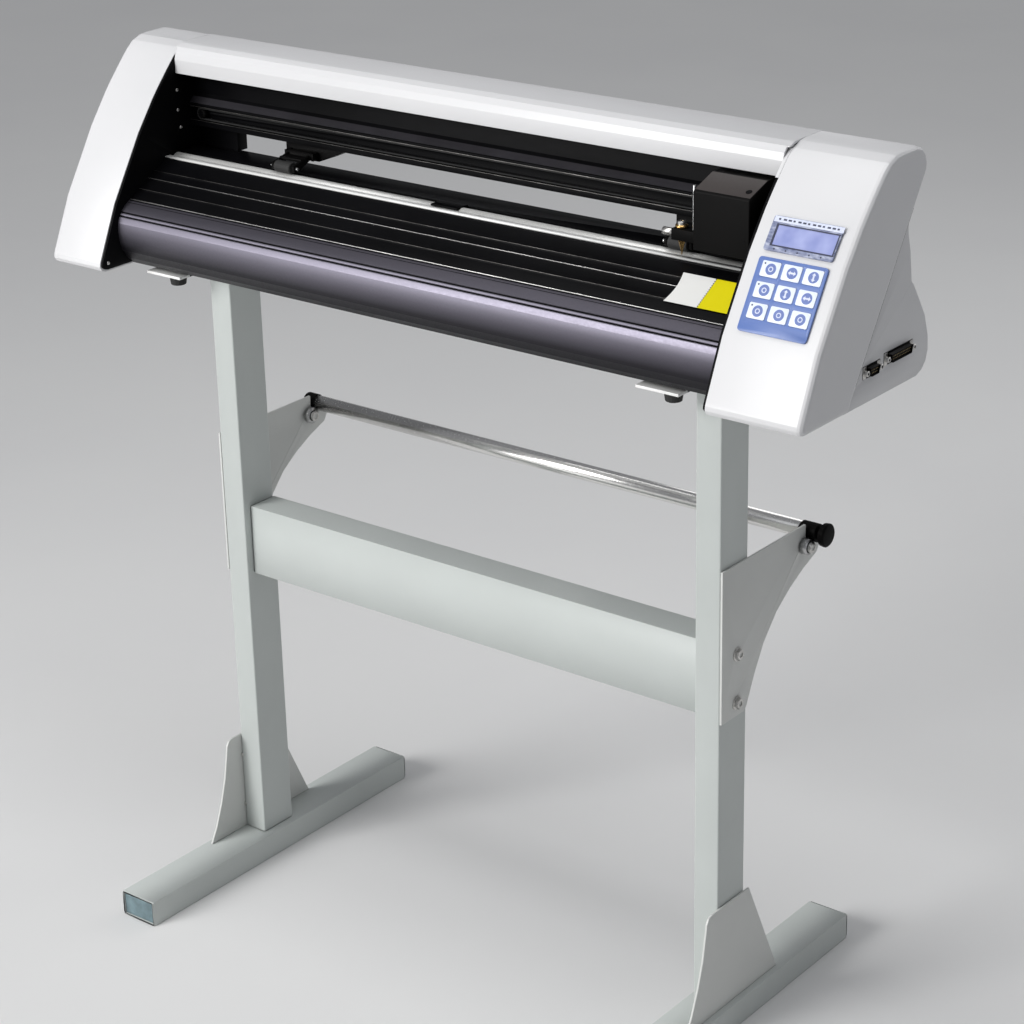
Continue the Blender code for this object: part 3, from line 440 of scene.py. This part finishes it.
glass = flat_shape([(0.4058, 0.0091), (0.4702, 0.0091), (0.4702, 0.0289), (0.4058, 0.0289)], 0.0018, 0.0003)
piece("display_glass", moved(glass, LCD_FACE), screen, "machine")
rim = []
for low, high in (((0.4040, 0.0078), (0.4722, 0.0092)), ((0.4040, 0.0288), (0.4722, 0.0300)),
                  ((0.4040, 0.0092), (0.4058, 0.0288)), ((0.4702, 0.0092), (0.4716, 0.0288))):
    rim.append(flat_shape([low, (high[0], low[1]), high, (low[0], high[1])], FRAME_TOP, PRINT))
piece("display_rim", moved(join(*rim), LCD_FACE), dark_ink, "machine")
pale = flat_shape([(0.3995, 0.0315), (0.4735, 0.0315), (0.4735, 0.0372), (0.3995, 0.0372)], 0.00258, PRINT)
piece("display_band", moved(pale, LCD_FACE), pale_ink, "machine")
marks = []
for i in range(13):
    x = 0.4040 + 0.0052 * i
    long = 0.0034 if i % 3 else 0.0022
    marks.append(flat_shape([(x, 0.0335), (x + long, 0.0335), (x + long, 0.0352), (x, 0.0352)], 0.0027, PRINT))
marks += [flat_shape(disc(0.4100 + 0.0125 * i, 0.0053, 0.0009, 12), FRAME_TOP, PRINT) for i in range(5)]
piece("display_marks", moved(join(*marks), LCD_FACE), dark_ink, "machine")

# ---------------------------------------------------------------- platen and beam lines


def slope_z(y):
    return 0.8405 + 0.575 * (y + 0.0128)


plate_low, plate_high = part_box("platen")
# Strips along the platen's ribs: painted highlights
ribs = (
    ("rib_front", -0.0555, dim_edge_highlight, 0.00025), ("rib_middle", -0.0404, painted_bright_highlight, 0.00045),
    ("rib_rear", -0.0303, dim_edge_highlight, 0.00022),
)
for name, y, made, half in ribs:
    top = slope_z(y) + 0.0011
    ends = (plate_low.x + 0.001, y - half, top - 0.0003), (plate_high.x - 0.001, y + half, top + 0.0002)
    strip = block(*ends, 0.0001)
    piece(name, strip, made, "machine")
low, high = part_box("front_cover")
# A bright strip along the front cover's top edge: painted highlight
edge = block((low.x + 0.001, -0.0702, 0.8081), (high.x - 0.001, -0.0692, 0.8090), 0.0002)
piece("cover_top_highlight", edge, painted_bright_highlight, "machine")
# Two black strips on the cover's top slope: a dark line, and a strip of painted shade
shade = Matrix.Translation((0, -0.0695, 0.8085)) @ Matrix.Rotation(math.atan2(-0.0055, -0.0086), 4, "X")
for name, near, far in (("cover_line", 0.0009, 0.0024), ("cover_painted_shade", 0.0050, 0.0056)):
    outline = [(low.x + 0.001, near), (high.x - 0.001, near), (high.x - 0.001, far), (low.x + 0.001, far)]
    piece(name, moved(flat_shape(outline, -0.00012, 0.0001), shade), black, "machine")
# Black strips along the cover's two grooves: painted shade in the recesses
for i, (y, z) in enumerate(((-0.0843, 0.7968), (-0.0869, 0.7931))):
    line = block((low.x + 0.001, y - 0.0004, z - 0.0006), (high.x - 0.001, y + 0.0004, z + 0.0007), 0.0001)
    piece(f"groove_painted_shade_{i}", line, black, "machine")
low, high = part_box("guide_beam")
# Thin light lines along the beam's front edge and foot: painted highlights
lips = (("beam_lip_highlight", 0.0304, 0.8923, 0.8931), ("beam_foot", 0.0302, 0.8771, 0.8776))
for name, y, z0, z1 in lips:
    lip = block((low.x + 0.002, 0.0296, z0), (high.x - 0.002, y, z1), 0.0002)
    piece(name, lip, dim_edge_highlight, "machine")

low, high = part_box("guide_beam")
# A lighter strip over the beam's chamfer: painted highlight
face = Matrix.Translation((0, 0.0300, 0.8951)) @ Matrix.Rotation(math.atan2(0.0104, 0.0100), 4, "X")
outline = [(low.x + 0.001, 0.0015), (high.x - 0.001, 0.0015), (high.x - 0.001, 0.0100), (low.x + 0.001, 0.0100)]
piece("beam_painted_highlight", moved(flat_shape(outline, 0.00002, 0.0001), face), chamfer_highlight, "machine")

# A blank label on the sloping table: a pale part, a yellow part and a dotted line between them
slope = Matrix.Translation((0, -0.0128, slope_z(-0.0128))) @ Matrix.Rotation(math.atan(0.575), 4, "X")
stretch = math.hypot(1, 0.575)


def on_table(outline, height):
    return moved(flat_shape([(x, (y + 0.0128) * stretch) for x, y in outline], height, 0.0001), slope)


bow = [(0.2960 + 0.0030 * math.sin(math.pi * i / 10), -0.0580 + 0.00335 * i) for i in range(11)]
piece("label_plain", on_table([(0.334, -0.0580), (0.334, -0.0245)] + bow[::-1], 0.0013), label_white, "machine")
band = [(0.334, -0.0580), (0.3795, -0.0580), (0.3795, -0.0245), (0.334, -0.0245)]
piece("label_band", on_table(band, 0.0013), label_yellow, "machine")
dots = [on_table([(x, y), (x + 0.0012, y), (x + 0.0012, y + 0.0012), (x, y + 0.0012)], 0.0014)
        for x, y in ((0.3334, -0.0570 + 0.0024 * i) for i in range(14))]
piece("label_dots", join(*dots), dark_ink, "machine")

# ---------------------------------------------------------------- fastenings

for side, s in (("left", -1), ("right", 1)):
    face = s * 0.3433
    for i, (y, z) in enumerate(((0.0030, 0.4360), (0.0030, 0.3815))):
        washer = aim(lathe([(0.0078, 0), (0.0078, 0.0010), (0.0072, 0.0014)], 36), (face, y, z), (s, 0, 0))
        piece(f"arm_washer_{side}_{i}", washer, zinc, "machine")
        head = [(0.0064, 0.0012), (0.0064, 0.0034), (0.0057, 0.0046), (0.0030, 0.0048), (0.0028, 0.0030)]
        piece(f"arm_bolt_{side}_{i}", aim(lathe(head, 6), (face, y, z), (s, 0, 0), 0.3), zinc, "machine")
    y, z = 0.1223, 0.5131
    near, far = (0.3382, 0.3322) if side == "left" else (0.3440, 0.3520)
    out = s if far > near else -s
    cap = [(0.0060, 0), (0.0060, 0.0012), (0.0050, 0.0022), (0.0028, 0.0023), (0.0025, 0.0012)]
    where = s * far + out * 0.0021
    piece(f"roller_cap_{side}", aim(lathe(cap), (where, y, z), (out, 0, 0)), zinc, "machine")
    shield = [(0.0064, -0.0002), (0.0064, 0.0001), (0.0057, 0.0001)]
    for i, (x, way) in enumerate(((far, out), (near, -out))):
        ring = aim(lathe(shield), (s * x, y, z), (way, 0, 0))
        piece(f"bearing_shield_{side}_{i}", ring, plastic, f"rod_roller_{side}")
    for i, (y, z) in enumerate(((-0.0249, 0.126), (-0.0249, 0.060))):
        weld = lathe([(0.0024, -0.0004), (0.0022, 0.0003), (0.0012, 0.0008)], 16)
        piece(f"weld_{side}_{i}", aim(weld, (s * 0.3400, y, z), (0, -1, 0)), zinc, "machine")

for i, (x, y) in enumerate(((-0.400, 0.041), (-0.400, 0.066), (0.3710, 0.041), (0.3710, 0.066))):
    piece(f"cover_screw_{i}", aim(pan_head(0.0026, 0.0008), (x, y, 0.9627), (0, 0, 1)), zinc, "machine")
for i, (y, z) in enumerate(((0.0138, 0.9128), (0.0131, 0.8905), (0.0159, 0.8707), (-0.1090, 0.7450))):
    for side, x, s in (("left", -0.4096, 1), ("right", 0.3812, -1)):
        piece(f"plate_screw_{side}_{i}", aim(pan_head(0.0021, 0.0011), (x, y, z), (s, 0, 0)), zinc, "machine")
for i, (x, z) in enumerate((x, z) for x in (-0.36, -0.12, 0.12, 0.36) for z in (0.93,)):
    piece(f"back_screw_{i}", aim(pan_head(0.0028, 0.0010), (x, 0.0811, z), (0, 1, 0)), zinc, "machine")

# White edging on the right side plate, and a dark strip of painted shade where each cap meets the housing, in
# the gap between them
edge = [(0.0005, 0.9345), (0.0040, 0.9383), (0.0160, 0.9507), (0.0245, 0.9570), (0.0300, 0.9588)]
edging = []
for (y0, z0), (y1, z1) in zip(edge, edge[1:]):
    length = math.hypot(y1 - y0, z1 - z0)
    y, z = (z0 - z1) / length, (y1 - y0) / length
    corners = [(y0, z0), (y1, z1), (y1 + y * 0.0004, z1 + z * 0.0004), (y0 + y * 0.0004, z0 + z * 0.0004)]
    mesh = flat_shape(corners, 0.3808, 0.0034)
    edging.append(moved(mesh, Matrix(((0, 0, 1, 0), (1, 0, 0, 0), (0, 1, 0, 0), (0, 0, 0, 1)))))
piece("plate_edging", join(*edging), white, "machine")
# A thin dark strip along each cap's rear edge against the housing: painted shade
rim = [(36, 0.0057), (43, 0.0058), (50, 0.0057), (50, 0.0053), (43, 0.0053), (36, 0.0053)]
rim = [(0.4835 + r * math.cos(math.radians(t)), -0.0055 + r * math.sin(math.radians(t))) for t, r in rim]
for side, s in (("left", -1), ("right", 1)):
    along = Vector((0, 0.5416, 0.8406))
    frame_of = Matrix((Vector((s, 0, 0)), Vector((0, 0.8406, -0.5416)), along)).transposed().to_4x4()
    place = Matrix.Translation(Vector((0, -0.0312, 0.7448)) + along * 0.015) @ frame_of
    piece(f"cap_gap_painted_shade_{side}", moved(flat_shape(rim, 0, 0.175), place), plastic, "machine")

# Strips on the feet, and the bright ends of the pinch rollers' axles
for side in ("left", "right"):
    low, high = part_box(f"foot_{side}")
    strip = block((low.x - 0.0002, low.y - 0.0002, 0.7263), (high.x + 0.0002, high.y - 0.0070, 0.7293), 0.0004)
    piece(f"foot_strip_{side}", strip, strip_white, "machine")
    centre = middle(f"pinch_wheel_{side}")
    for i, way in enumerate((-1, 1)):
        tip = lathe([(0.0018, 0), (0.0018, 0.0074), (0.0014, 0.0078)], 20)
        at = (centre.x + way * 0.0115, 0.0036, 0.8523)
        piece(f"axle_tip_{side}_{i}", aim(tip, at, (way, 0, 0)), steel, f"pinch_roller_{side}")

# ---------------------------------------------------------------- sockets on the ends

for name, y, z, width, pins in (("wide", 0.0665, 0.7640, 0.0389, 13), ("narrow", 0.0175, 0.7610, 0.0169, 5)):
    w = width / 2 - 0.0022
    core = [
        (y - w, z + 0.0030), (y + w, z + 0.0030), (y + w - 0.0015, z - 0.0030), (y - w + 0.0015, z - 0.0030),
    ]
    mesh = flat_shape(core, 0.4794, 0.0030)
    cyclic = Matrix(((0, 0, 1, 0), (1, 0, 0, 0), (0, 1, 0, 0), (0, 0, 0, 1)))
    piece(f"socket_core_{name}", moved(mesh, cyclic), plastic, "machine")
    holes = []
    for row, count in ((0.0014, pins), (-0.0014, pins - 1)):
        for i in range(count):
            at = y + (i - (count - 1) / 2) * 0.00277
            hole = lathe([(0.0006, 0), (0.0006, 0.0034), (0.0003, 0.0036)], 10)
            holes.append(aim(hole, (0.4793, at, z + row), (1, 0, 0)))
    piece(f"socket_pins_{name}", join(*holes), gold, "machine")
    gap = 0.0235 if name == "wide" else 0.0125
    for i, t in enumerate((-1, 1)):
        low, high = sorted((y + t * (gap + 0.0030), y + t * (width / 2 + 0.0012)))
        ear = block((0.4791, low, z - 0.0061), (0.4797, high, z + 0.0061), 0.0002)
        piece(f"socket_ear_{name}_{i}", ear, zinc, "machine")
        nut = [(0.0030, 0), (0.0030, 0.0036), (0.0026, 0.0040), (0.0015, 0.0040), (0.0014, 0.0020)]
        nut = aim(lathe(nut, 6), (0.4797, y + t * gap, z), (1, 0, 0))
        piece(f"socket_nut_{name}_{i}", nut, zinc, "machine")
pins = [block((-0.4800, y - 0.0010, z - 0.0030), (-0.4645, y + 0.0010, z + 0.0030)) for y, z in
        ((0.0650, 0.7690), (0.0790, 0.7690), (0.0720, 0.7735))]
piece("inlet_pins", join(*pins), zinc, "machine")
for side, s in (("left", -1), ("right", 1)):
    low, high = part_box(f"base_beam_{side}")
    inner = low.x + 0.0023, high.y - 0.0140, low.z + 0.0023
    outer = high.x - 0.0023, high.y - 0.0015, high.z - 0.0023
    plug = block(inner, outer, 0.001)
    piece(f"rear_plug_{side}", plug, insert, "machine")

# ---------------------------------------------------------------- carriage details

low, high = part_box("carriage_body")
# A lighter strip on the carriage's sloped top: painted highlight
bevel = Matrix.Translation((0, -0.0245, 0.9178)) @ Matrix.Rotation(math.atan2(0.0107, 0.0305), 4, "X")
left, right_end = low.x + 0.0008, high.x - 0.0008
sheen = [(left, 0.0006), (right_end, 0.0006), (right_end, 0.0318), (left, 0.0318)]
piece("carriage_painted_highlight", moved(flat_shape(sheen, 0.00002, 0.0001), bevel), bevel_highlight, "carriage")
for i, (where, way, r) in enumerate((((0.3640, -0.0261, 0.8760), (0, -1, 0), 0.0016),
                                     ((0.3622, -0.0150, 0.9213), (0, -0.33, 0.94), 0.0033))):
    hole = aim(lathe([(r, -0.0004), (r, 0.0001), (r * 0.4, 0.0001)], 20), where, way)
    piece(f"carriage_hole_{i}", hole, black, "carriage")
pin = [(0.0019, 0), (0.0019, 0.0430), (0.0015, 0.0436)]
piece("slide_pin", aim(lathe(pin, 20), (0.3000, -0.0130, 0.8745), (0, 0, 1)), steel, "tool_head")
collar = [(0.0043, 0), (0.0043, 0.0034), (0.0038, 0.0040), (0.0015, 0.0041), (0.0014, 0.0030)]
piece("holder_top", aim(lathe(collar, 28), (0.2835, -0.0100, 0.8762), (0, 0, 1)), zinc, "tool_head")

# ---------------------------------------------------------------- floor, light and camera

floor_mesh = bmesh.new()
bmesh.ops.create_grid(floor_mesh, x_segments=1, y_segments=1, size=30)
floor_data = bpy.data.meshes.new("floor")
floor_mesh.to_mesh(floor_data)
floor_mesh.free()
floor_look, tree, shader = graph("floor_paint")
tree.links.new(
    ramp(tree, noise(tree, 1.5, detail=6), ((0.3, (0.74, 0.74, 0.74)), (0.7, (0.77, 0.77, 0.765)))),
    shader.inputs["Base Color"],
)
shader.inputs["Roughness"].default_value = 0.85
floor_data.materials.append(floor_look)
floor = bpy.data.objects.new("floor", floor_data)
bpy.context.scene.collection.objects.link(floor)
floor.location.z = -0.0005

bpy.context.scene.view_settings.view_transform = "Standard"
world = bpy.data.worlds.new("studio")
bpy.context.scene.world = world
world.use_nodes = True
world.node_tree.nodes["Background"].inputs["Color"].default_value = (0.93, 0.95, 1.0, 1)
world.node_tree.nodes["Background"].inputs["Strength"].default_value = 0.22


def lamp(name, where, target, size, power, colour=(1, 1, 1)):
    data = bpy.data.lights.new(name, "AREA")
    data.shape, data.size, data.size_y, data.energy, data.color = "RECTANGLE", *size, power, colour
    item = bpy.data.objects.new(name, data)
    bpy.context.scene.collection.objects.link(item)
    item.location = where
    item.rotation_euler = (Vector(target) - Vector(where)).to_track_quat("-Z", "Y").to_euler()


lamp("key", (-1.2, -3.0, 1.9), (0, 0, 0.65), (1.6, 1.2), 40, (1.0, 0.99, 0.97))
lamp("low", (-1.5, -2.0, 0.75), (0, 0, 0.78), (1.2, 0.5), 10)
lamp("top", (0.0, -0.4, 3.0), (0, 0, 0.8), (2.4, 1.2), 24)
lamp("fill", (2.8, -0.6, 1.6), (0, 0, 0.5), (1.5, 1.5), 3, (0.93, 0.96, 1.0))
lamp("back", (0.8, 2.6, 2.0), (0, 0, 0.7), (2.0, 1.5), 12)
even = bpy.data.lights.new("even", "SUN")
even.energy, even.angle = 1.35, math.radians(25)
even_item = bpy.data.objects.new("even", even)
bpy.context.scene.collection.objects.link(even_item)
even_item.rotation_euler = Vector((1.2, 3.0, -1.5)).to_track_quat("-Z", "Y").to_euler()

YAW, PITCH, ROLL = math.radians(38.6068), math.radians(-22.3278), math.radians(-1.3690)
forward = Vector((-math.sin(YAW) * math.cos(PITCH), math.cos(YAW) * math.cos(PITCH), math.sin(PITCH)))
right = Vector((math.cos(YAW), math.sin(YAW), 0))
up = right.cross(forward)
right, up = right * math.cos(ROLL) + up * math.sin(ROLL), up * math.cos(ROLL) - right * math.sin(ROLL)
camera_data = bpy.data.cameras.new("camera")
camera_data.lens, camera_data.sensor_width = 92.69, 36
camera_data.clip_end = 100
camera = bpy.data.objects.new("camera", camera_data)
facing = Matrix((right, up, -forward)).transposed().to_4x4()
camera.matrix_world = Matrix.Translation((1.66339, -2.00760, 1.57967)) @ facing
bpy.context.scene.collection.objects.link(camera)
bpy.context.scene.camera = camera
